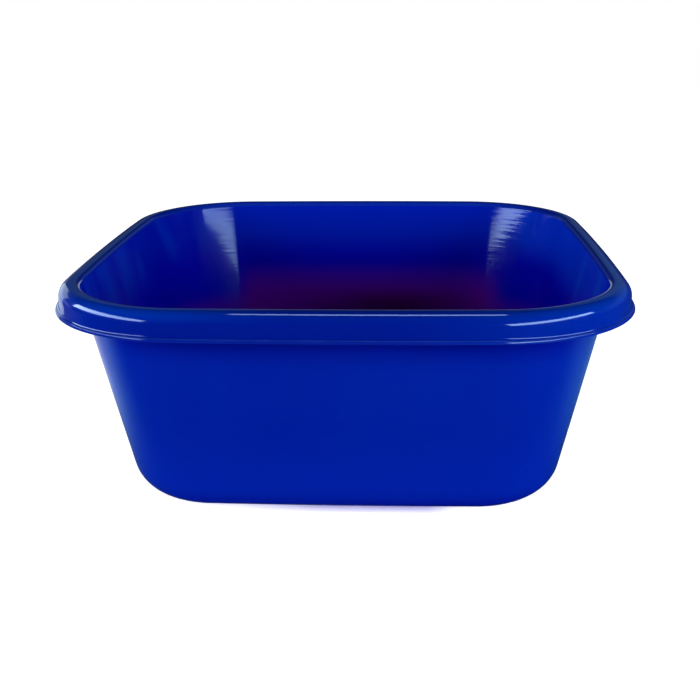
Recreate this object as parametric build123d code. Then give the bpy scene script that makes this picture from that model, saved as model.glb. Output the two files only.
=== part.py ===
from build123d import *
import math
import os

# A square washing up bowl, moulded in one piece. Millimetres, +Z up.
# The origin is on the surface that the bowl stands on, under its centre.
# In plan every outline is a square with slightly bowed sides and round corners:
# four side arcs and four corner arcs, each tangent to its neighbours.

# Whole bowl, over the lip and up to the top of the rim
overall_width = 320.0
overall_height = 126.0

# Plan at the lip, the widest outline
lip_corner_radius = 79.5
lip_side_radius = 2500.0

# Plan at the base, where the outer face of the wall would meet the standing surface
base_width = 242.5
base_corner_radius = 48.0
base_side_radius = 4200.0
base_edge_radius = 21.3

# Thickness of the wall and rim, measured level, and of the floor
wall = 1.8
floor_thickness = 2.0

# Rim, from the inside of the bowl outwards and down to the lip at the skirt's foot
rim_inner_radius = 3.2
rim_land = 1.6
rim_outer_radius = 7.2
skirt_drop = 5.5
skirt_lean = 0.2
lip_projection = 2.0
lip_height = 1.6
lip_root_radius = 0.8
lip_edge_share = 0.45

# Underside: a foot ring round a raised panel, with the stub that the moulding gate leaves
foot_width = 9.0
foot_height = 1.4
foot_edge_share = 0.4
gate_radius = 2.5
gate_height_share = 0.5

# Cuts run past the faces that they open by this much
overrun = 2.0

# Two faces closer in height than this are at one level
same_level = 0.001

# Levels and reaches that follow from the sizes above
half_width = overall_width / 2
skirt_height = rim_outer_radius + skirt_drop
crease_level = overall_height - skirt_height
lip_level = crease_level - lip_height
ceiling_level = overall_height - wall
rim_reach = lip_projection + skirt_lean + rim_outer_radius + rim_land + rim_inner_radius
wall_reach = rim_reach - wall
lip_plan = (half_width, lip_side_radius, lip_corner_radius)
base_plan = (base_width / 2, base_side_radius, base_corner_radius)


def corner_centre(half_side, side_radius, corner_radius):
    """Distance of a corner arc's centre from both mid planes, at which the arcs are tangent."""
    side_centre = half_side - side_radius
    reach = side_radius - corner_radius
    return (side_centre + math.sqrt(2 * reach**2 - side_centre**2)) / 2


def outline(plan, inset, level):
    """The flat face inside a plan outline, drawn in by inset on every side."""
    half_side, side_radius, corner_radius = plan
    centre = corner_centre(half_side, side_radius, corner_radius)
    side_centre = half_side - side_radius
    half_turn = math.degrees(math.atan2(centre, centre - side_centre))
    side = CenterArc((side_centre, 0), side_radius - inset, -half_turn, 2 * half_turn)
    corner = CenterArc((centre, centre), corner_radius - inset, half_turn, 90 - 2 * half_turn)
    arcs = [arc.rotate(Axis.Z, 90 * quarter) for quarter in range(4) for arc in (side, corner)]
    return Pos(0, 0, level) * make_face(Wire(arcs))


def level_face(solid, level):
    """The one flat, level face that a solid has at a level."""
    level_faces = solid.faces().filter_by(Axis.Z)
    return [face for face in level_faces if abs(face.center().Z - level) < same_level][0]


def outer_edges(solid, level):
    """The edges round the outside of the level face at a level."""
    return level_face(solid, level).outer_wire().edges()


def inner_edges(solid, level):
    """The edges round the opening of the level face at a level."""
    return level_face(solid, level).inner_wires()[0].edges()


def drafted_block(inset):
    """The solid that tapers from the rim to the base inside the wall's outer face, drawn in by inset."""
    foot = outline(base_plan, inset, 0)
    top = outline(lip_plan, wall_reach + inset, overall_height)
    return loft([foot, top], ruled=True)


def tub_block():
    """The outside of the wall and base, as a full solid."""
    block = drafted_block(0)
    return fillet(outer_edges(block, 0), base_edge_radius)


def basin_space():
    """What the bowl holds, with a collar above it that opens the top."""
    space = split(drafted_block(wall), Plane.XY.offset(floor_thickness), keep=Keep.TOP)
    space = fillet(outer_edges(space, floor_thickness), base_edge_radius - floor_thickness)
    return space + extrude(level_face(space, overall_height), overrun)


def skirt_inset(level):
    """How far the skirt's outer face lies in from the lip's edge at a level."""
    return lip_projection + skirt_lean * (level - crease_level) / skirt_height


def skirt_block(inset, low, high):
    """The solid inside the skirt's outer face, drawn in by inset, between two levels."""
    ends = [outline(lip_plan, skirt_inset(level) + inset, level) for level in (low, high)]
    return loft(ends, ruled=True)


def rim_block():
    """The outside of the rim, skirt and lip, as a full solid."""
    lip_edge_radius = lip_edge_share * lip_height
    lip = extrude(outline(lip_plan, 0, lip_level), lip_height)
    block = skirt_block(0, crease_level, overall_height) + lip
    block = fillet(outer_edges(block, overall_height), rim_outer_radius)
    block = fillet(inner_edges(block, crease_level), lip_root_radius)
    lip_edges = outer_edges(block, crease_level) + outer_edges(block, lip_level)
    return fillet(lip_edges, lip_edge_radius)


def grip_channel(tub):
    """The hollow under the rim, between the wall and the skirt, where the fingers go."""
    channel = skirt_block(wall, lip_level - overrun, ceiling_level) - tub
    channel = fillet(inner_edges(channel, ceiling_level), rim_inner_radius - wall)
    return fillet(outer_edges(channel, ceiling_level), rim_outer_radius - wall)


def base_panel(inset, level):
    """A low plate inside the foot ring, with a rounded upper edge."""
    lean = math.atan2(half_width - wall_reach - base_width / 2, overall_height)
    edge_run = base_edge_radius * math.tan((math.pi / 2 - lean) / 2)
    plate = extrude(outline(base_plan, edge_run + foot_width - inset, level), foot_height)
    return fillet(outer_edges(plate, level + foot_height), foot_edge_share * foot_height)


def gate_stub():
    """The short stub in the middle of the underside, clear of the standing surface."""
    gate_height = gate_height_share * foot_height
    stub = Cylinder(gate_radius, gate_height, align=(Align.CENTER, Align.CENTER, Align.MAX))
    return Pos(0, 0, foot_height) * stub


def make_bowl():
    tub = tub_block()
    bowl = tub + rim_block() - grip_channel(tub) - basin_space()
    bowl = fillet(inner_edges(bowl, overall_height), rim_inner_radius)
    bowl = bowl + base_panel(wall, floor_thickness) - base_panel(0, 0)
    bowl = fillet(inner_edges(bowl, 0), foot_edge_share * foot_height)
    return bowl + gate_stub()


os.makedirs("parts", exist_ok=True)
bowl = make_bowl()
bowl.label = "bowl"
export_step(bowl, "parts/bowl.step")
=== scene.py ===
import math

import bpy
from mathutils import Matrix, Vector


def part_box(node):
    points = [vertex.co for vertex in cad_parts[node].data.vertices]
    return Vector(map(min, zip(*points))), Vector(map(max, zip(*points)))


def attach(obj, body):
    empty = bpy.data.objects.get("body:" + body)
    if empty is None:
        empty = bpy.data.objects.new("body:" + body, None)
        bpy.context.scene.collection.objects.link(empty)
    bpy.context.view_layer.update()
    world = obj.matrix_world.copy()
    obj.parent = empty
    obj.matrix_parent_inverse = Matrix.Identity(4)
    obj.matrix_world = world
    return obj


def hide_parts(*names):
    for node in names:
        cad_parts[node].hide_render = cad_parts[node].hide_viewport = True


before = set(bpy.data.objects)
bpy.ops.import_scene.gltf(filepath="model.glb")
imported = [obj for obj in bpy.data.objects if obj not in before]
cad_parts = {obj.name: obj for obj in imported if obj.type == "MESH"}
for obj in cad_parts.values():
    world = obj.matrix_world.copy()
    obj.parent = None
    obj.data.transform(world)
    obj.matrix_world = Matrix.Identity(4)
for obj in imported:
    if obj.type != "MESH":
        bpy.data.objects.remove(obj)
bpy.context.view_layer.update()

# A square washing up bowl in gloss blue plastic, on a white floor. Metres, in the CAD model's frame.
# The bowl's surface is one closed skin of smooth rings, from the middle of the inside floor outwards,
# up the wall, over the rim and its skirt, under the lip and down to the middle of the underside.

low_corner, high_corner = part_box("bowl")

# Bowl, over the lip and up to the top of the rim
half_width = (high_corner.x - low_corner.x) / 2
overall_height = high_corner.z - low_corner.z

# Plan at the lip and at the base, each of four side arcs and four corner arcs
lip_corner_radius = 0.0795
lip_side_radius = 2.5
base_half_width = 0.12125
base_corner_radius = 0.048
base_side_radius = 4.2
base_edge_radius = 0.0213

# Thickness
wall = 0.0018
floor_thickness = 0.002

# Rim, skirt and lip
rim_inner_radius = 0.0032
rim_land = 0.0016
rim_outer_radius = 0.0072
skirt_drop = 0.0055
skirt_lean = 0.0002
lip_projection = 0.002
lip_height = 0.0016
lip_root_radius = 0.0016
lip_top_radius = 0.0003
lip_low_radius = 0.00035
lip_face_high = 28.0
lip_face_low = 6.0

# How much lighter the painted highlights make the edges, as shares of the brightest painted highlight
inner_edge_highlight = 0.12
crease_highlight = 0.75
lip_highlight = 0.05

# Foot ring, raised panel and gate mark
foot_width = 0.009
foot_height = 0.0014
foot_edge_radius = 0.00056
gate_radius = 0.0025
gate_height = 0.0007
gate_edge_radius = 0.0002

# Steps of the skin: along a quarter's side arc and corner arc, round a profile arc, along a wall
side_steps = 36
corner_steps = 30
arc_steps = 8
wall_steps = 24
panel_steps = 10
foot_steps = 4

# Where the skin's rings stand along the short flats of the profile, as shares of each
land_shares = (0.8, 0.4, 0.1)
skirt_shares = (0.95, 0.7, 0.3, 0.05)
lip_under_shares = (0.3, 0.6, 0.9, 1.0)
channel_shares = (0.05, 0.3, 0.7, 0.95)
foot_shares = (0.05, 0.5, 0.95)

# Levels and reaches
skirt_height = rim_outer_radius + skirt_drop
crease_level = overall_height - skirt_height
lip_level = crease_level - lip_height
rim_reach = lip_projection + skirt_lean + rim_outer_radius + rim_land + rim_inner_radius
wall_reach = rim_reach - wall

# Camera, fitted to the photograph's outline of the bowl. Degrees and metres; the frame is square.
sensor_width = 36.0
lens_per_frame_width = 1.4632
camera_azimuth = 2.77
camera_elevation = 18.39
camera_roll = -0.52
camera_distance = 0.66248
camera_target = Vector((-0.00045, 0.0, 0.05604))

# What the lamps are placed round, and what the top one is aimed at
bowl_top = Vector((0.0, 0.0, 0.1))
front_rim = Vector((0.0, -0.15, overall_height))
top_box_spread = 80.0

# The two keys, in degrees and metres
key_elevation = 11.0
key_distance = 1.3
key_thickness = 0.4

# Colours of the lamps
left_tint = (0.7, 0.98, 1.37)
right_tint = (0.65, 1.0, 1.4)
card_tint = (0.7, 0.86, 1.0)
white = (1.0, 1.0, 1.0)

# A place on a lamp, along it or across it, lies between these
lamp_span = (-0.5, 0.5)

# How softly far images set in, in metres, how soft their top is, as a share of the lamp,
# and how bright a second mirror image is
far_softness = 0.03
far_top_softness = 0.05
second_image = 0.03

# Ramps are written as the value's first and last level, then what the ramp gives at each. Two numbers alone
# stand for a ramp that rises from 0 to 1. Those of the lamps are over how often a ray was mirrored, the depth
# of a far image, and the place along the lamp.
mirrored_once = (1.2, 1.8, 1.0, second_image)
far_fall = (0.75, 1.08, 1.0, 0.0)
far_first_end = (-0.5, -0.25, 0.45, 1.0)

# What the world shows in the gloss, over the x, y and z of a direction
world_seen = (1.0, 1.0, 1.0)
world_fill = (0.95, 0.97, 1.0)
horizon_tint = (0.75, 0.88, 1.2)
upper_tint = (0.38, 0.86, 1.8)
fill_height = (0.35, 0.05, 0.05, 0.15)
tint_height = (0.1, 0.2, 0.0, 1.0)
gloss_behind = (-0.2, 0.5, 0.03, 1.0)
horizon_height = (0.08, 0.16, 0.7, 0.0)
horizon_straight = (0.1, 0.26, 1.1, 0.0)
horizon_left = (-0.5, -0.3, 0.6, 0.0)
horizon_left_behind = (0.25, 0.55, 0.0, 1.0)
upper_height = (0.08, 0.2, 0.02, 0.15)
upper_top = (0.3, 0.5, 1.0, 0.08)
upper_aside = (0.08, 0.24, 0.3, 1.4)
upper_right = (-0.15, 0.1, 0.6, 0.85)

# Floor: its size, its colours, the bowl's shadow, and what the gloss shows of it, over places in metres
floor_reach = 3.0
floor_grey = (0.88, 0.88, 0.88)
floor_shade = (0.17, 0.15, 0.5)
floor_beside = (0.08, 0.42, 0.8)
floor_behind = (0.55, 0.62, 0.9)
shade_distance = 0.005
shade_left = (-0.085, 0.0, 0.15, 1.0)
shade_right = (0.045, 0.068, 1.0, 0.06)
white_away = (0.15, 0.3, 0.86, 1.0)
behind_depth = (-0.16, 0.12, 0.0, 1.0)
behind_left = (-0.05, 0.05, 1.0, 0.15)
mirrored_depth = (-0.15, -0.03, 0.05, 1.0)
mirrored_clear = (0.14, 0.24, 0.2, 1.0)
mirrored_far = (0.33, 0.45, 1.0, 0.15)
mirrored_right = (-0.05, 0.05, 1.1, 0.55)

# Blues of the plastic outside, most of them painted light and shade, and the heights and reaches between
# which they set in
flow_blues = ((0.0, 0.012, 0.335), (0.0, 0.015, 0.365))
# Painted light bounced from the floor: lighter towards the base
floor_light_blue = (0.0, 0.015, 0.39)
floor_light_levels = (0.06, 0.02)
# Painted floor light and shade on the base's rounded edge: a purer, lighter blue with less green
base_edge_light_blue = (0.0, 0.006, 0.43)
base_edge_light_levels = (0.015, 0.003)
# Painted shade under the rim's lip
lip_shade_blue = (0.0, 0.002, 0.26)
lip_shade_levels = (0.09, 0.112)
# Painted shade on the rim, darkest in the middle of the front and back, and painted light at its corners
rim_shade_blue = (0.0, 0.009, 0.265)
rim_corner_light_blue = (0.0, 0.0175, 0.33)
rim_corner_light_middle = -0.03
rim_corner_light_reach = (0.05, 0.15)
# Painted sheen along the top of the rim, more towards the sides and faint on the far left
rim_sheen_blue = (0.0, 0.033, 0.43)
rim_sheen_levels = (0.12, 0.125)
rim_sheen_middle = 0.02
rim_sheen_reach = (0.04, 0.13, 0.25, 1.0)
rim_sheen_left = (-0.15, -0.12, 0.1, 1.0)

# Blues and violets of the plastic inside, mostly painted light and shade, likewise
# Painted light: the inside lighter than the outside
inside_light_blue = (0.0, 0.0115, 0.43)
# Painted shade on the left wall, with lighter upright streaks on it
left_wall_shade_blue = (0.0, 0.006, 0.42)
left_streak_blue = (0.0, 0.021, 0.48)
left_shade_reach = (-0.1, -0.125)
# Painted light on the right wall, with lighter upright streaks on it
right_wall_light_blue = (0.0, 0.026, 0.58)
right_streak_blue = (0.0, 0.042, 0.6)
right_light_reach = (0.1, 0.125)
# Painted shade deep inside: the green fades, then purple, then nearly black a little right of the middle
deep_shade_blue = (0.0005, 0.0006, 0.42)
deep_shade_levels = (0.108, 0.082)
violet_shade = (0.105, 0.0005, 0.31)
violet_shade_levels = (0.085, 0.052)
violet_shade_middle = 0.008
violet_shade_reach = (0.105, 0.085)
inner_floor_shade = (0.09, 0.0005, 0.28)
inner_floor_shade_levels = (0.064, 0.045, 0.0, 0.5)
dark_spot_shade = (0.05, 0.0, 0.06)
dark_spot_levels = (0.066, 0.05, 0.0, 0.8)
dark_spot_middle = 0.03
dark_spot_reach = (0.08, 0.0)

# Painted highlights along the edges, brightest at the front and back
highlight_blue = (0.03, 0.1, 0.58)
highlight_front_back = (0.11, 0.14, 0.2, 1.0)

# Noises of the plastic, as cells a metre along each axis, detail and roughness, and the ramps over them
flow_noise = ((9.0, 9.0, 5.0), 3.0, 0.5)
flow_ramp = (0.3, 0.7)
streak_noise = ((26.0, 26.0, 2.0), 2.0, 0.5)
streak_ramp = (0.48, 0.6)
highlight_break_noise = ((110.0, 110.0, 30.0), 3.0, 0.6)
highlight_break_ramp = (0.3, 0.6, 0.7, 1.0)
haze_noise = ((45.0, 45.0, 45.0), 4.0, 0.6)
haze_ramp = (0.35, 0.7, 0.05, 0.09)
wave_noise = ((28.0, 28.0, 40.0), 2.0, 0.4)
line_noise = ((9.0, 9.0, 380.0), 2.0, 0.5)
peel_noise = ((420.0, 420.0, 420.0), 2.0, 0.5)

# Polish: how much duller the inside is, how light bends, and how deep the surface's marks are, in metres
inside_roughness = 0.02
plastic_ior = 1.49
wave_depth = 0.0001
wave_share_on_rim = 0.4
line_depth = 0.00006
peel_depth = 0.000004


def direction(azimuth, elevation):
    """Unit vector from the bowl. Azimuth 0 is towards the camera's side, -Y, and 90 is +X."""
    turn = math.radians(azimuth)
    rise = math.radians(elevation)
    return Vector((math.sin(turn) * math.cos(rise), -math.cos(turn) * math.cos(rise), math.sin(rise)))


def facing(place, target):
    """The matrix of a camera or lamp at a place that looks at a target, level."""
    turn = (target - place).to_track_quat("-Z", "Y").to_matrix().to_4x4()
    return Matrix.Translation(place) @ turn


def make_camera():
    data = bpy.data.cameras.new("camera")
    data.sensor_width = sensor_width
    data.lens = sensor_width * lens_per_frame_width
    camera = bpy.data.objects.new("camera", data)
    bpy.context.scene.collection.objects.link(camera)
    place = camera_target + camera_distance * direction(camera_azimuth, camera_elevation)
    roll = Matrix.Rotation(math.radians(camera_roll), 4, "Z")
    camera.matrix_world = facing(place, camera_target) @ roll
    bpy.context.scene.camera = camera


def plan_outline(half_side, side_radius, corner_radius):
    """Points and outward normals round an outline of tangent arcs, from the middle of the +X side."""
    side_centre = half_side - side_radius
    reach = side_radius - corner_radius
    centre = (side_centre + math.sqrt(2 * reach**2 - side_centre**2)) / 2
    half_turn = math.atan2(centre, centre - side_centre)
    corner_turn = math.pi / 2 - 2 * half_turn
    quarter = []
    for step in range(side_steps // 2):
        angle = half_turn * 2 * step / side_steps
        quarter.append(((side_centre, 0.0), side_radius, angle))
    for step in range(corner_steps):
        angle = half_turn + corner_turn * step / corner_steps
        quarter.append(((centre, centre), corner_radius, angle))
    for step in range(side_steps // 2):
        angle = math.pi / 2 - half_turn + half_turn * 2 * step / side_steps
        quarter.append(((0.0, side_centre), side_radius, angle))
    points, normals = [], []
    for turn in range(4):
        spin = Matrix.Rotation(turn * math.pi / 2, 2)
        for middle, radius, angle in quarter:
            normal = Vector((math.cos(angle), math.sin(angle)))
            points.append(spin @ (Vector(middle) + radius * normal))
            normals.append(spin @ normal)
    return points, normals


def bend(middle, radius, start, end, steps=arc_steps):
    """Points of a profile arc as (reach, level), with its ends, from one angle to another in degrees."""
    angles = [math.radians(start + (end - start) * step / steps) for step in range(steps + 1)]
    return [(middle[0] + radius * math.cos(a), middle[1] + radius * math.sin(a)) for a in angles]


def touching(middle, radius, other_radius, angle):
    """Centre of a round that touches another from within, or from round it, where both lean by an angle."""
    lean = math.radians(angle)
    reach = radius - other_radius
    return (middle[0] - reach * math.cos(lean), middle[1] + reach * math.sin(lean))


def lip_profile():
    """(inset, level) over the lip: a small round, a larger steep one that faces outwards, a small round."""
    high, low = math.sin(math.radians(lip_face_high)), math.sin(math.radians(lip_face_low))
    rounds = lip_top_radius + lip_low_radius
    face_radius = (lip_height - rounds + lip_top_radius * high - lip_low_radius * low) / (high - low)
    low_middle = (lip_low_radius, lip_level + lip_low_radius)
    face_middle = touching(low_middle, lip_low_radius, face_radius, lip_face_low)
    top_middle = touching(face_middle, face_radius, lip_top_radius, lip_face_high)
    top = bend(top_middle, lip_top_radius, 90, 180 - lip_face_high, arc_steps // 2)
    face = bend(face_middle, face_radius, 180 - lip_face_high, 180 - lip_face_low)
    under = bend(low_middle, lip_low_radius, 180 - lip_face_low, 270)
    return top + face[1:] + under[1:]


def rim_profile():
    """(inset from the lip's edge, level) from the rim's land over the outside down to the lip."""
    skirt_top = overall_height - rim_outer_radius
    land_end = rim_reach - rim_inner_radius - rim_land
    land = [(land_end + rim_land * share, overall_height) for share in land_shares]
    outer = bend((land_end, skirt_top), rim_outer_radius, 90, 180, 2 * arc_steps)
    skirt_foot = crease_level + lip_root_radius
    skirt = [
        (lip_projection + skirt_lean * share, skirt_foot + (skirt_top - skirt_foot) * share)
        for share in skirt_shares
    ]
    root = bend((lip_projection - lip_root_radius, skirt_foot), lip_root_radius, 360, 270)
    return land + outer + skirt + root + lip_profile()


def rim_highlight():
    """How much painted highlight each ring of the rim's profile has: most along one ring of the crease, some
    along the lip.
    """
    lip = [lip_highlight] * len(lip_profile())
    crease = [0.0, crease_highlight, crease_highlight / 2, 0.0]
    above = len(rim_profile()) - len(lip) - len(crease)
    return [0.0] * above + crease + lip


def channel_profile():
    """(inset from the lip's edge, level) from under the lip up inside the skirt to the ceiling."""
    ceiling = overall_height - wall
    skirt_inner = lip_projection + wall
    bend_radius = rim_outer_radius - wall
    under = [(skirt_inner * share, lip_level) for share in lip_under_shares]
    up = [
        (skirt_inner + skirt_lean * share, lip_level + (ceiling - bend_radius - lip_level) * share)
        for share in channel_shares
    ]
    bend_middle = (skirt_inner + skirt_lean + bend_radius, ceiling - bend_radius)
    return under + up + bend(bend_middle, bend_radius, 180, 90)


def wall_points(plans, inset, at_top):
    """Foot, top and outward normal of a wall's face at every point round it."""
    (base, base_out), (lip, lip_out) = plans
    for low, low_out, high, high_out in zip(base, base_out, lip, lip_out):
        yield low - inset * low_out, high - (wall_reach + inset) * high_out, high_out if at_top else low_out


def round_rings(plans, inset, radius, flat_level, at_top):
    """Rings of the round between a flat face and a wall's face, from the flat to the wall."""
    side = -1 if at_top else 1
    steps = arc_steps if at_top else 2 * arc_steps
    rings = [[] for _ in range(steps + 1)]
    for foot, top, outwards in wall_points(plans, inset, at_top):
        rise = top - foot
        run = rise.dot(outwards)
        slide = rise - outwards * run
        turn = math.pi / 2 - math.atan2(run, overall_height)
        back = radius * math.tan(turn / 2)
        start = foot + rise * (flat_level / overall_height)
        for step, ring in enumerate(rings):
            angle = turn * step / steps
            level = radius * (1 - math.cos(angle))
            reach = radius * math.sin(angle) - back
            place = start + side * (outwards * reach + slide * (level / overall_height))
            ring.append(Vector((place.x, place.y, flat_level + side * level)))
    return rings


def between(first, last, steps):
    """Rings between two rings, closer together towards both."""
    shares = [(1 - math.cos(math.pi * step / steps)) / 2 for step in range(1, steps)]
    return [[a.lerp(b, share) for a, b in zip(first, last)] for share in shares]


def offset_ring(plan, inset, level):
    return [Vector((p.x - inset * n.x, p.y - inset * n.y, level)) for p, n in zip(*plan)]


def circle_ring(plan, radius, level):
    return [Vector((*(p.normalized() * radius), level)) for p in plan[0]]


def inside_panel(base, inset):
    """Rings of the floor from the middle out and down the panel's rounded edge."""
    level = floor_thickness + foot_height
    edge = bend((inset + foot_edge_radius, level - foot_edge_radius), foot_edge_radius, 90, 180)
    rings = [offset_ring(base, reach, height) for reach, height in edge]
    middle = circle_ring(base, gate_radius, level)
    return [middle] + between(middle, rings[0], panel_steps) + rings


def underside(base, inset, edge_run):
    """Rings from the foot ring's flat over its inner edge, across the panel and over the gate mark."""
    foot_end = inset - foot_edge_radius
    flat = [offset_ring(base, edge_run + (foot_end - edge_run) * share, 0.0) for share in foot_shares]
    edge = bend((foot_end, foot_edge_radius), foot_edge_radius, -90, 0)
    edge.append((inset, foot_height))
    step = [offset_ring(base, reach, level) for reach, level in edge]
    middle = circle_ring(base, gate_radius, foot_height)
    low = foot_height - gate_height + gate_edge_radius
    stub = bend((gate_radius - gate_edge_radius, low), gate_edge_radius, 0, -90)
    return flat + step + between(step[-1], middle, panel_steps) + [middle] + [
        circle_ring(base, radius, level) for radius, level in stub
    ]


def bowl_rings():
    """All rings of the skin, and by name what share of a mark each ring has."""
    base = plan_outline(base_half_width, base_side_radius, base_corner_radius)
    lip = plan_outline(half_width, lip_side_radius, lip_corner_radius)
    plans = (base, lip)
    lean = math.atan2(half_width - wall_reach - base_half_width, overall_height)
    edge_run = base_edge_radius * math.tan((math.pi / 2 - lean) / 2)
    panel_inset = edge_run + foot_width
    ceiling = overall_height - wall

    panel = inside_panel(base, panel_inset - wall)
    panel_foot = offset_ring(base, panel_inset - wall, floor_thickness)
    low_inside = round_rings(plans, wall, base_edge_radius - floor_thickness, floor_thickness, False)
    high_inside = round_rings(plans, wall, rim_inner_radius, overall_height, True)[::-1]
    rim = [offset_ring(lip, inset, level) for inset, level in rim_profile() + channel_profile()]
    high_outside = round_rings(plans, 0.0, rim_inner_radius - wall, ceiling, True)
    low_outside = round_rings(plans, 0.0, base_edge_radius, 0.0, False)[::-1]
    rings = panel + [panel_foot] + between(panel_foot, low_inside[0], foot_steps) + low_inside
    rings += between(low_inside[-1], high_inside[0], wall_steps)
    inside_count = len(rings)
    rings += high_inside
    edge_count = len(rings)
    # Shares of the painted highlight along the rim's inner edge, its crease and its lip
    painted_highlight = [0.0] * inside_count + [inner_edge_highlight] * len(high_inside) + rim_highlight()
    rings += rim
    rim_count = edge_count + len(rim_profile())
    rings += high_outside
    channel_count = len(rings)
    rings += between(high_outside[-1], low_outside[0], wall_steps) + low_outside
    rings += underside(base, panel_inset, edge_run)
    rows = range(len(rings))
    marks = {
        "inside": [1.0 if row < inside_count else 0.0 for row in rows],
        "painted_highlight": painted_highlight + [0.0] * (len(rings) - len(painted_highlight)),
        "rim": [1.0 if edge_count <= row < rim_count else 0.0 for row in rows],
        "outer_wall": [1.0 if row >= channel_count else 0.0 for row in rows],
    }
    return rings, marks


def skin(name, rings):
    """A closed mesh through the rings, with a fan at each end."""
    count = len(rings[0])
    points = [place for ring in rings for place in ring]
    faces = []
    for row in range(len(rings) - 1):
        for step in range(count):
            following = (step + 1) % count
            low, high = row * count, (row + 1) * count
            faces.append((low + step, high + step, high + following, low + following))
    for row, reverse in ((0, True), (len(rings) - 1, False)):
        middle = len(points)
        points.append(Vector((0.0, 0.0, rings[row][0].z)))
        for step in range(count):
            a, b = row * count + step, row * count + (step + 1) % count
            faces.append((a, b, middle) if reverse else (b, a, middle))
    mesh = bpy.data.meshes.new(name)
    mesh.from_pydata(points, [], faces)
    mesh.polygons.foreach_set("use_smooth", [True] * len(faces))
    mesh.update()
    piece = bpy.data.objects.new(name, mesh)
    bpy.context.scene.collection.objects.link(piece)
    return piece


def along_axis(tree, place, axis, shift):
    """A point's coordinate along an axis, plus a shift."""
    node = tree.nodes.new("ShaderNodeVectorMath")
    node.operation = "DOT_PRODUCT"
    node.inputs[1].default_value = axis
    tree.links.new(place, node.inputs[0])
    shifted = tree.nodes.new("ShaderNodeMath")
    shifted.inputs[1].default_value = shift
    tree.links.new(node.outputs["Value"], shifted.inputs[0])
    return shifted.outputs[0]


def linear_between(tree, value, low, high, low_value, high_value):
    """A straight ramp of a value from one level to another."""
    node = tree.nodes.new("ShaderNodeMapRange")
    sockets = ("From Min", "From Max", "To Min", "To Max")
    for socket, number in zip(sockets, (low, high, low_value, high_value)):
        node.inputs[socket].default_value = number
    tree.links.new(value, node.inputs["Value"])
    return node.outputs[0]


def ramp_between(tree, value, low, high, low_value, high_value):
    """A smooth step of a value from one level to another."""
    ramp = linear_between(tree, value, low, high, low_value, high_value)
    ramp.node.interpolation_type = "SMOOTHSTEP"
    return ramp


def rising(tree, value, start, end):
    """A smooth step from 0 at one level to 1 at another."""
    return ramp_between(tree, value, start, end, 0.0, 1.0)


def remainder(tree, share):
    """What a share leaves of the whole."""
    return linear_between(tree, share, 0.0, 1.0, 1.0, 0.0)


def calculated(tree, operation, *values):
    node = tree.nodes.new("ShaderNodeMath")
    node.operation = operation
    for socket, value in zip(node.inputs, values):
        tree.links.new(value, socket)
    return node.outputs[0]


def times(tree, *values):
    product = values[0]
    for value in values[1:]:
        product = calculated(tree, "MULTIPLY", product, value)
    return product


def divided(tree, first, second):
    return calculated(tree, "DIVIDE", first, second)


def added(tree, first, second):
    return calculated(tree, "ADD", first, second)


def magnitude(tree, value):
    return calculated(tree, "ABSOLUTE", value)


def coordinates(tree, place):
    """The x, y and z of a place or direction."""
    parts = tree.nodes.new("ShaderNodeSeparateXYZ")
    tree.links.new(place, parts.inputs[0])
    return parts.outputs


def aside_from(tree, place, middle):
    """How far a place lies to either side of an x."""
    return magnitude(tree, along_axis(tree, place, (1.0, 0.0, 0.0), -middle))


def mixed(tree, share, first, second):
    node = tree.nodes.new("ShaderNodeMixShader")
    tree.links.new(share, node.inputs[0])
    tree.links.new(first, node.inputs[1])
    tree.links.new(second, node.inputs[2])
    return node.outputs[0]


def colour_mix(tree, share, first, second):
    node = tree.nodes.new("ShaderNodeMix")
    node.data_type = "RGBA"
    for socket, colour in ((node.inputs["A"], first), (node.inputs["B"], second)):
        if isinstance(colour, tuple):
            socket.default_value = (*colour, 1.0)
        else:
            tree.links.new(colour, socket)
    tree.links.new(share, node.inputs["Factor"])
    return node.outputs["Result"]


def strip_lamp(name, first, last, thickness, radiance, colour, lights, aim=None):
    """A rectangular lamp whose short sides stand at two places, each an azimuth, elevation and distance.

    Its radiance is what a mirror would show of it. It either lights things or shows in their gloss.
    """
    ends = [bowl_top + distance * direction(*angles) for *angles, distance in (first, last)]
    middle = (ends[0] + ends[1]) / 2
    along = ends[1] - ends[0]
    width = along.length
    side = along.normalized()
    back = middle - (aim or bowl_top)
    back = (back - side * back.dot(side)).normalized()
    upwards = back.cross(side)
    data = bpy.data.lights.new(name, "AREA")
    data.shape = "RECTANGLE"
    data.size = width
    data.size_y = thickness
    data.energy = radiance * math.pi * width * thickness
    data.color = colour
    thing = bpy.data.objects.new(name, data)
    bpy.context.scene.collection.objects.link(thing)
    turn = Matrix((side, upwards, back)).transposed().to_4x4()
    thing.matrix_world = Matrix.Translation(middle) @ turn
    thing.visible_camera = False
    thing.visible_diffuse = lights
    thing.visible_glossy = not lights
    return thing


def far_image_loss(tree, reach, height, far_image):
    """The share of a lamp that is lost in its far mirror images, by the place on the lamp."""
    top = far_image["top"]
    path = tree.nodes.new("ShaderNodeLightPath")
    limit = linear_between(tree, reach, *lamp_span, *far_image["starts"])
    beyond = calculated(tree, "SUBTRACT", path.outputs["Ray Length"], limit)
    far = rising(tree, beyond, -far_softness, far_softness)
    down = linear_between(tree, height, *lamp_span, 1.0, 0.0)
    depth = divided(tree, down, linear_between(tree, reach, *lamp_span, *far_image["depths"]))
    fall = ramp_between(tree, depth, *far_fall)
    fall = linear_between(tree, fall, 0.0, 1.0, 0.0, far_image["level"])
    below_top = rising(tree, down, top - far_top_softness, top)
    first_end = ramp_between(tree, reach, *far_first_end)
    return times(tree, far, remainder(tree, times(tree, fall, below_top, first_end)))


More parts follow.
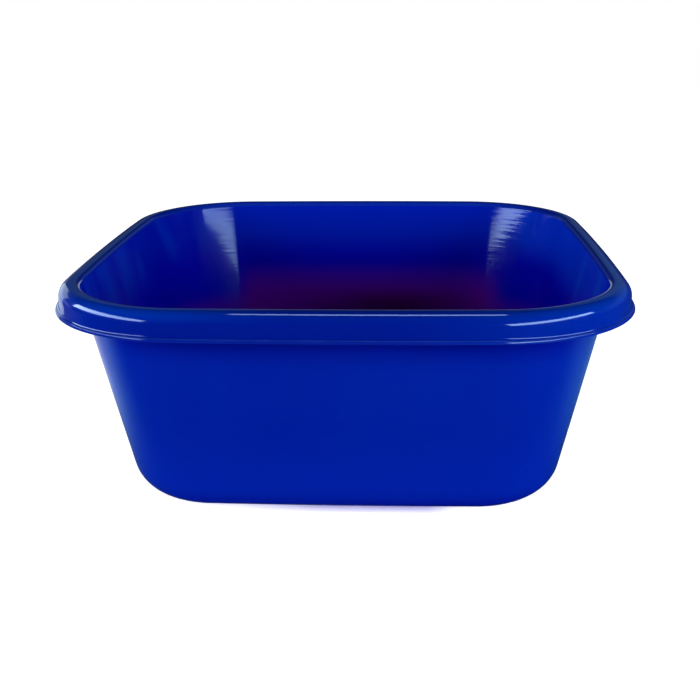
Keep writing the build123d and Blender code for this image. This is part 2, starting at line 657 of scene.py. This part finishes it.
def soft_edges(lamp, first_share, last_share, end_fade, side_fade, far_image):
    """Fades a lamp towards its edges, and narrows it at each end to a share of its thickness.

    A mirror image of its mirror image is dim. What is mirrored from far off fades downwards and is dimmer
    at the first end: far_image holds, for the first end and the last, the distance that this starts at and
    how far down it reaches, and then where its top is and how bright it is.
    """
    data = lamp.data
    data.use_nodes = True
    tree = data.node_tree
    tree.nodes.clear()
    output = tree.nodes.new("ShaderNodeOutputLight")
    glow = tree.nodes.new("ShaderNodeEmission")
    path = tree.nodes.new("ShaderNodeLightPath")
    place = tree.nodes.new("ShaderNodeNewGeometry").outputs["Position"]
    middle = lamp.matrix_world.translation
    along, upwards = (Vector(lamp.matrix_world.col[axis][:3]) for axis in (0, 1))
    reach = along_axis(tree, place, along / data.size, -middle.dot(along) / data.size)
    rise = along_axis(tree, place, upwards / data.size_y, -middle.dot(upwards) / data.size_y)
    height = divided(tree, rise, linear_between(tree, reach, *lamp_span, first_share, last_share))
    edge = lamp_span[1]
    ends = ramp_between(tree, magnitude(tree, reach), edge - end_fade, edge, 1.0, 0.0)
    sides = ramp_between(tree, magnitude(tree, height), edge - side_fade, edge, 1.0, 0.0)
    once = ramp_between(tree, path.outputs["Glossy Depth"], *mirrored_once)
    kept = remainder(tree, far_image_loss(tree, reach, height, far_image))
    tree.links.new(times(tree, ends, sides, once, kept), glow.inputs["Strength"])
    tree.links.new(glow.outputs[0], output.inputs["Surface"])


def make_mirrored_lamps():
    """Softboxes on the left, on the right and overhead, and a card on the left, that show in the gloss."""
    left = strip_lamp(
        "left_box",
        first=(-33.5, 15.9, 0.387),
        last=(-99.7, 17.6, 0.721),
        thickness=0.185,
        radiance=8.6,
        colour=left_tint,
        lights=False,
    )
    far_left = {"starts": (0.4, 0.73), "depths": (1.0, 0.65), "top": 0.25, "level": 0.67}
    soft_edges(left, first_share=0.29, last_share=1.0, end_fade=0.04, side_fade=0.2, far_image=far_left)
    right = strip_lamp(
        "right_box",
        first=(17.0, 14.8, 0.635),
        last=(71.5, 20.5, 0.405),
        thickness=0.13,
        radiance=9.4,
        colour=right_tint,
        lights=False,
    )
    far_right = {"starts": (0.62, 0.41), "depths": (1.0, 0.72), "top": 0.25, "level": 0.48}
    soft_edges(right, first_share=1.0, last_share=0.38, end_fade=0.04, side_fade=0.2, far_image=far_right)
    top = strip_lamp(
        "top_box",
        first=(-66.6, 71.9, 0.4315),
        last=(69.5, 70.0, 0.4364),
        thickness=0.08,
        radiance=1.05,
        colour=left_tint,
        lights=False,
        aim=front_rim,
    )
    top.data.spread = math.radians(top_box_spread)
    card = strip_lamp(
        "left_card",
        first=(-103.5, 3.35, 0.412),
        last=(-122.7, 4.0, 0.36),
        thickness=0.225,
        radiance=1.08,
        colour=card_tint,
        lights=False,
    )
    far_card = {"starts": (0.43, 0.43), "depths": (1.0, 1.0), "top": 0.1, "level": 0.0}
    soft_edges(card, first_share=1.0, last_share=1.0, end_fade=0.03, side_fade=0.1, far_image=far_card)


def make_keys():
    """Long lamps, low in front on either side, that light the bowl and don't show in its gloss."""
    for name, azimuths, radiance in (("left_key", (-35.0, -85.0), 8.3), ("right_key", (30.0, 80.0), 8.7)):
        first, last = ((azimuth, key_elevation, key_distance) for azimuth in azimuths)
        strip_lamp(name, first, last, key_thickness, radiance, white, lights=True)


def new_material(name):
    material = bpy.data.materials.new(name)
    material.use_nodes = True
    tree = material.node_tree
    tree.nodes.clear()
    output = tree.nodes.new("ShaderNodeOutputMaterial")
    return material, tree, output


def world_gloss(tree, x, y, z):
    """How bright the world is in the gloss: a pale horizon behind the bowl, and a dim wall over it."""
    aside = magnitude(tree, x)
    straight = ramp_between(tree, aside, *horizon_straight)
    on_left = times(tree, ramp_between(tree, x, *horizon_left), ramp_between(tree, y, *horizon_left_behind))
    horizon = times(tree, added(tree, straight, on_left), ramp_between(tree, z, *horizon_height))
    upper = times(
        tree,
        ramp_between(tree, z, *upper_height),
        ramp_between(tree, z, *upper_top),
        ramp_between(tree, aside, *upper_aside),
        ramp_between(tree, x, *upper_right),
    )
    return times(tree, ramp_between(tree, y, *gloss_behind), added(tree, horizon, upper))


def make_world():
    """White to the camera, dim in the gloss, and a faint even light from all round."""
    world = bpy.data.worlds.new("studio")
    world.use_nodes = True
    bpy.context.scene.world = world
    tree = world.node_tree
    tree.nodes.clear()
    output = tree.nodes.new("ShaderNodeOutputWorld")
    path = tree.nodes.new("ShaderNodeLightPath")
    x, y, z = coordinates(tree, tree.nodes.new("ShaderNodeTexCoord").outputs["Generated"])
    seen = tree.nodes.new("ShaderNodeBackground")
    fill = tree.nodes.new("ShaderNodeBackground")
    gloss = tree.nodes.new("ShaderNodeBackground")
    seen.inputs["Color"].default_value = (*world_seen, 1.0)
    fill.inputs["Color"].default_value = (*world_fill, 1.0)
    tree.links.new(ramp_between(tree, z, *fill_height), fill.inputs["Strength"])
    tint = colour_mix(tree, ramp_between(tree, z, *tint_height), horizon_tint, upper_tint)
    tree.links.new(tint, gloss.inputs["Color"])
    tree.links.new(world_gloss(tree, x, y, z), gloss.inputs["Strength"])
    lit = mixed(tree, path.outputs["Is Glossy Ray"], fill.outputs[0], gloss.outputs[0])
    both = mixed(tree, path.outputs["Is Camera Ray"], lit, seen.outputs[0])
    tree.links.new(both, output.inputs["Surface"])


def floor_seen(tree, matt, x, away):
    """The floor to the camera: white, with the bowl's soft shadow in it."""
    near = tree.nodes.new("ShaderNodeAmbientOcclusion")
    near.inputs["Distance"].default_value = shade_distance
    hidden = remainder(tree, near.outputs["AO"])
    shade = times(tree, hidden, ramp_between(tree, x, *shade_left), ramp_between(tree, x, *shade_right))
    glow = tree.nodes.new("ShaderNodeEmission")
    tree.links.new(colour_mix(tree, shade, white, floor_shade), glow.inputs["Color"])
    tree.links.new(ramp_between(tree, away, *white_away), glow.inputs["Strength"])
    both = tree.nodes.new("ShaderNodeAddShader")
    tree.links.new(matt, both.inputs[0])
    tree.links.new(glow.outputs[0], both.inputs[1])
    return both.outputs[0]


def floor_mirrored(tree, x, y, away):
    """The floor in the gloss: dark in front, blue beside the bowl and paler behind it on the left."""
    behind = times(tree, ramp_between(tree, y, *behind_depth), ramp_between(tree, x, *behind_left))
    strength = times(
        tree,
        ramp_between(tree, y, *mirrored_depth),
        ramp_between(tree, away, *mirrored_clear),
        ramp_between(tree, away, *mirrored_far),
        ramp_between(tree, x, *mirrored_right),
    )
    glow = tree.nodes.new("ShaderNodeEmission")
    tree.links.new(colour_mix(tree, behind, floor_beside, floor_behind), glow.inputs["Color"])
    tree.links.new(strength, glow.inputs["Strength"])
    return glow.outputs[0]


def floor_material():
    material, tree, output = new_material("floor")
    place = tree.nodes.new("ShaderNodeTexCoord").outputs["Object"]
    x, y, _ = coordinates(tree, place)
    length = tree.nodes.new("ShaderNodeVectorMath")
    length.operation = "LENGTH"
    tree.links.new(place, length.inputs[0])
    away = length.outputs["Value"]
    matt = tree.nodes.new("ShaderNodeBsdfDiffuse")
    matt.inputs["Color"].default_value = (*floor_grey, 1.0)
    path = tree.nodes.new("ShaderNodeLightPath")
    seen = floor_seen(tree, matt.outputs[0], x, away)
    seen = mixed(tree, path.outputs["Is Camera Ray"], matt.outputs[0], seen)
    both = mixed(tree, path.outputs["Is Glossy Ray"], seen, floor_mirrored(tree, x, y, away))
    tree.links.new(both, output.inputs["Surface"])
    return material


def make_floor():
    """A wide pale floor that the bowl stands on."""
    mesh = bpy.data.meshes.new("floor")
    sides = (-floor_reach, floor_reach)
    corners = [(x, y, 0.0) for y in sides for x in sides]
    mesh.from_pydata(corners, [], [(0, 1, 3, 2)])
    floor = bpy.data.objects.new("floor", mesh)
    bpy.context.scene.collection.objects.link(floor)
    mesh.materials.append(floor_material())


def noise(tree, place, cells, detail, roughness):
    """Noise, 0 to 1, with so many cells a metre along each axis."""
    scale = tree.nodes.new("ShaderNodeVectorMath")
    scale.operation = "MULTIPLY"
    scale.inputs[1].default_value = cells
    tree.links.new(place, scale.inputs[0])
    node = tree.nodes.new("ShaderNodeTexNoise")
    node.inputs["Scale"].default_value = 1.0
    node.inputs["Detail"].default_value = detail
    node.inputs["Roughness"].default_value = roughness
    tree.links.new(scale.outputs[0], node.inputs["Vector"])
    return node.outputs[0]


def bumped(tree, height, depth, strength, below=None):
    node = tree.nodes.new("ShaderNodeBump")
    node.inputs["Distance"].default_value = depth
    tree.links.new(height, node.inputs["Height"])
    if isinstance(strength, float):
        node.inputs["Strength"].default_value = strength
    else:
        tree.links.new(strength, node.inputs["Strength"])
    if below is not None:
        tree.links.new(below, node.inputs["Normal"])
    return node.outputs[0]


def attribute(tree, name):
    node = tree.nodes.new("ShaderNodeAttribute")
    node.attribute_name = name
    return node.outputs["Fac"]


def rim_light_and_shade(tree, place, x, z):
    """Painted light and shade on the rim: painted shade in the middle of the front and back, painted light at
    the corners and a painted sheen along the top.
    """
    corner = rising(tree, aside_from(tree, place, rim_corner_light_middle), *rim_corner_light_reach)
    colour = colour_mix(tree, corner, rim_shade_blue, rim_corner_light_blue)
    top = times(
        tree,
        rising(tree, z, *rim_sheen_levels),
        ramp_between(tree, aside_from(tree, place, rim_sheen_middle), *rim_sheen_reach),
        ramp_between(tree, x, *rim_sheen_left),
    )
    return colour_mix(tree, top, colour, rim_sheen_blue)


def outer_colour(tree, place, x, z):
    """Blue with faint flow marks, with painted floor light towards the base and on its rounded edge, painted
    shade under the rim's lip, and the rim's painted light and shade.
    """
    flow = rising(tree, noise(tree, place, *flow_noise), *flow_ramp)
    colour = colour_mix(tree, flow, *flow_blues)
    # Painted floor light towards the base, then on the base's rounded edge
    colour = colour_mix(tree, rising(tree, z, *floor_light_levels), colour, floor_light_blue)
    colour = colour_mix(tree, rising(tree, z, *base_edge_light_levels), colour, base_edge_light_blue)
    # Painted shade on the wall under the rim's lip
    lip_shade = times(tree, rising(tree, z, *lip_shade_levels), attribute(tree, "outer_wall"))
    colour = colour_mix(tree, lip_shade, colour, lip_shade_blue)
    return colour_mix(tree, attribute(tree, "rim"), colour, rim_light_and_shade(tree, place, x, z))


def inner_colour(tree, place, x, z):
    """Painted light, lighter than the outside, with painted shade on the left wall, painted light on the
    right wall and lighter upright streaks on both, and painted shade that turns purple and nearly black
    towards the floor, darkest a little right of the middle.
    """
    # Painted shade on the left wall and painted light on the right
    left = rising(tree, x, *left_shade_reach)
    right = rising(tree, x, *right_light_reach)
    colour = colour_mix(tree, left, inside_light_blue, left_wall_shade_blue)
    colour = colour_mix(tree, right, colour, right_wall_light_blue)
    streaks = rising(tree, noise(tree, place, *streak_noise), *streak_ramp)
    colour = colour_mix(tree, times(tree, streaks, left), colour, left_streak_blue)
    colour = colour_mix(tree, times(tree, streaks, right), colour, right_streak_blue)
    # Painted shade towards the floor, purple and then nearly black
    colour = colour_mix(tree, rising(tree, z, *deep_shade_levels), colour, deep_shade_blue)
    middle = rising(tree, aside_from(tree, place, violet_shade_middle), *violet_shade_reach)
    colour = colour_mix(tree, times(tree, rising(tree, z, *violet_shade_levels), middle), colour, violet_shade)
    colour = colour_mix(tree, ramp_between(tree, z, *inner_floor_shade_levels), colour, inner_floor_shade)
    # Painted shade: nearly black, low inside, a little right of the middle
    dark_spot = rising(tree, aside_from(tree, place, dark_spot_middle), *dark_spot_reach)
    return colour_mix(tree, times(tree, dark_spot, ramp_between(tree, z, *dark_spot_levels)), colour, dark_spot_shade)


def painted_highlight_share(tree, place, y):
    """The painted highlight along the edges: the edges' marks, brightest at the front and back, broken up by
    noise.
    """
    highlight_breaks = ramp_between(tree, noise(tree, place, *highlight_break_noise), *highlight_break_ramp)
    front_back_share = ramp_between(tree, magnitude(tree, y), *highlight_front_back)
    return times(tree, attribute(tree, "painted_highlight"), highlight_breaks, front_back_share)


def surface_marks(tree, place, inside):
    """The normal over slow waves, polishing lines on the inside and a slight orange peel."""
    wave = noise(tree, place, *wave_noise)
    lines = noise(tree, place, *line_noise)
    peel = noise(tree, place, *peel_noise)
    wave_share = linear_between(tree, attribute(tree, "rim"), 0.0, 1.0, 1.0, wave_share_on_rim)
    normal = bumped(tree, wave, wave_depth, wave_share)
    normal = bumped(tree, lines, line_depth, inside, normal)
    return bumped(tree, peel, peel_depth, 1.0, normal)


def gloss_plastic():
    """Polished blue plastic, a little duller inside, with painted light and shade in its blues and painted
    highlights along its edges.
    """
    material, tree, output = new_material("gloss_blue_plastic")
    shader = tree.nodes.new("ShaderNodeBsdfPrincipled")
    place = tree.nodes.new("ShaderNodeTexCoord").outputs["Object"]
    x, y, z = coordinates(tree, place)
    inside = attribute(tree, "inside")
    outer = outer_colour(tree, place, x, z)
    colour = colour_mix(tree, inside, outer, inner_colour(tree, place, x, z))
    # Painted highlights along the edges
    colour = colour_mix(tree, painted_highlight_share(tree, place, y), colour, highlight_blue)
    tree.links.new(colour, shader.inputs["Base Color"])
    polish = ramp_between(tree, noise(tree, place, *haze_noise), *haze_ramp)
    satin = linear_between(tree, inside, 0.0, 1.0, 0.0, inside_roughness)
    tree.links.new(added(tree, polish, satin), shader.inputs["Roughness"])
    shader.inputs["IOR"].default_value = plastic_ior
    tree.links.new(surface_marks(tree, place, inside), shader.inputs["Normal"])
    tree.links.new(shader.outputs[0], output.inputs["Surface"])
    return material


def mark(piece, name, shares):
    """Writes a share for each ring, and so for the middles of both fans, to the mesh's points."""
    count = (len(piece.data.vertices) - 2) // len(shares)
    values = [share for share in shares for _ in range(count)] + [shares[0], shares[-1]]
    piece.data.attributes.new(name, "FLOAT", "POINT").data.foreach_set("value", values)


def make_bowl():
    rings, marks = bowl_rings()
    bowl = skin("bowl_skin", rings)
    for name, shares in marks.items():
        mark(bowl, name, shares)
    bowl.data.materials.append(gloss_plastic())
    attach(bowl, "root")
    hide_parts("bowl")


make_camera()
make_mirrored_lamps()
make_keys()
make_world()
make_floor()
make_bowl()
bpy.context.scene.view_settings.view_transform = "Standard"
